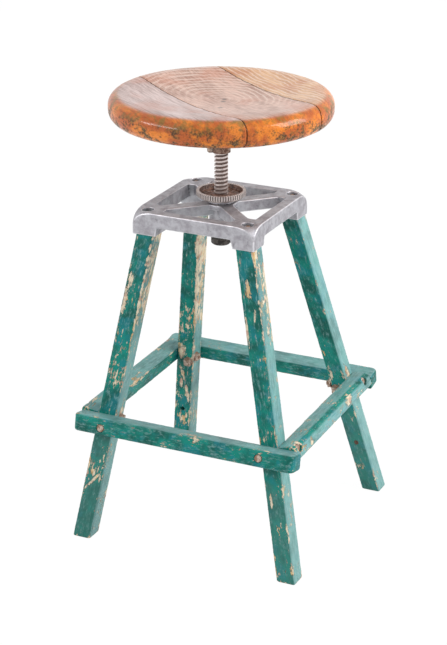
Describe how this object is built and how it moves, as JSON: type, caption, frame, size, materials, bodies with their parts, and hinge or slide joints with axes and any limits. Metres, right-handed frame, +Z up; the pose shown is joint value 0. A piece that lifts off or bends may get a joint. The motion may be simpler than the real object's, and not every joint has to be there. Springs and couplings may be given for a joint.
{
  "type": "machinist stool",
  "caption": "Shop stool with a round glued wooden seat on a height screw, a hand wheel under it, a cast aluminium spider and splayed square wooden legs tied by bolted stretchers.",
  "frame": {"origin": "on the floor, at the centre of the four feet", "axes": "+Z up, -Y the front, +X the stool's right side; the screw stands on a vertical axis 24 mm to the left of the feet's centre, because the legs' frame is racked sideways"},
  "size_m": [0.4033, 0.3972, 0.723],
  "materials": {
    "seat_wood": "glossy worn varnish",
    "leg_paint": "worn teal-green paint over wood",
    "cast_metal": "satin as-cast",
    "thread_steel": "worn with rust in the roots",
    "rusty_iron": "rusty",
    "dark_steel": "dark and oily",
    "bolt_steel": "dull with rust",
    "bushing_bronze": "dull",
    "plug_wood": "dull"
  },
  "bodies": {
    "base": {"spider_casting": "cast_metal", "hub_bushing": "bushing_bronze", "leg_front_left": "leg_paint", "leg_front_right": "leg_paint", "leg_rear_right": "leg_paint", "leg_rear_left": "leg_paint", "stretcher_front": "leg_paint", "stretcher_rear": "leg_paint", "stretcher_left": "leg_paint", "stretcher_right": "leg_paint", "stretcher_bolts": "bolt_steel", "stretcher_washers": "bolt_steel", "stretcher_nuts": "bolt_steel", "stretcher_nail": "bolt_steel", "leg_plug": "plug_wood", "leg_head_screws": "rusty_iron"},
    "stop_washer": {"stop_washer": "dark_steel"},
    "seat": {"height_screw": "thread_steel", "retaining_collar": "dark_steel", "collar_pin": "dark_steel", "seat_flange": "rusty_iron", "flange_set_screw": "bolt_steel", "flange_screws": "bolt_steel", "seat_board_front": "seat_wood", "seat_board_middle": "seat_wood", "seat_board_rear": "seat_wood"},
    "wheel_washer": {"wheel_washer": "dark_steel"},
    "lock_wheel": {"lock_wheel": "rusty_iron"}
  },
  "joints": [
    {"name": "screw_lift", "type": "slide", "parent": "base", "child": "stop_washer", "axis": [0, 0, 1], "range_m": [-0.05716, 0.01271]},
    {"name": "seat_turn", "type": "hinge", "parent": "stop_washer", "child": "seat", "pos_m": [-0.024, 0, 0.723], "axis": [0, 0, 1], "range_deg": [-3240, 720]},
    {"name": "wheel_lift", "type": "slide", "parent": "base", "child": "wheel_washer", "axis": [0, 0, 1], "range_m": [0, 0.00636]},
    {"name": "wheel_turn", "type": "hinge", "parent": "wheel_washer", "child": "lock_wheel", "pos_m": [-0.024, 0, 0.5518], "axis": [0, 0, 1], "range_deg": [0, 360]}
  ],
  "couplings": [
    {"joint": "screw_lift", "follows": "seat_turn", "m_per_rad": 0.0010106},
    {"joint": "wheel_lift", "follows": "wheel_turn", "m_per_rad": 0.0010106}
  ]
}
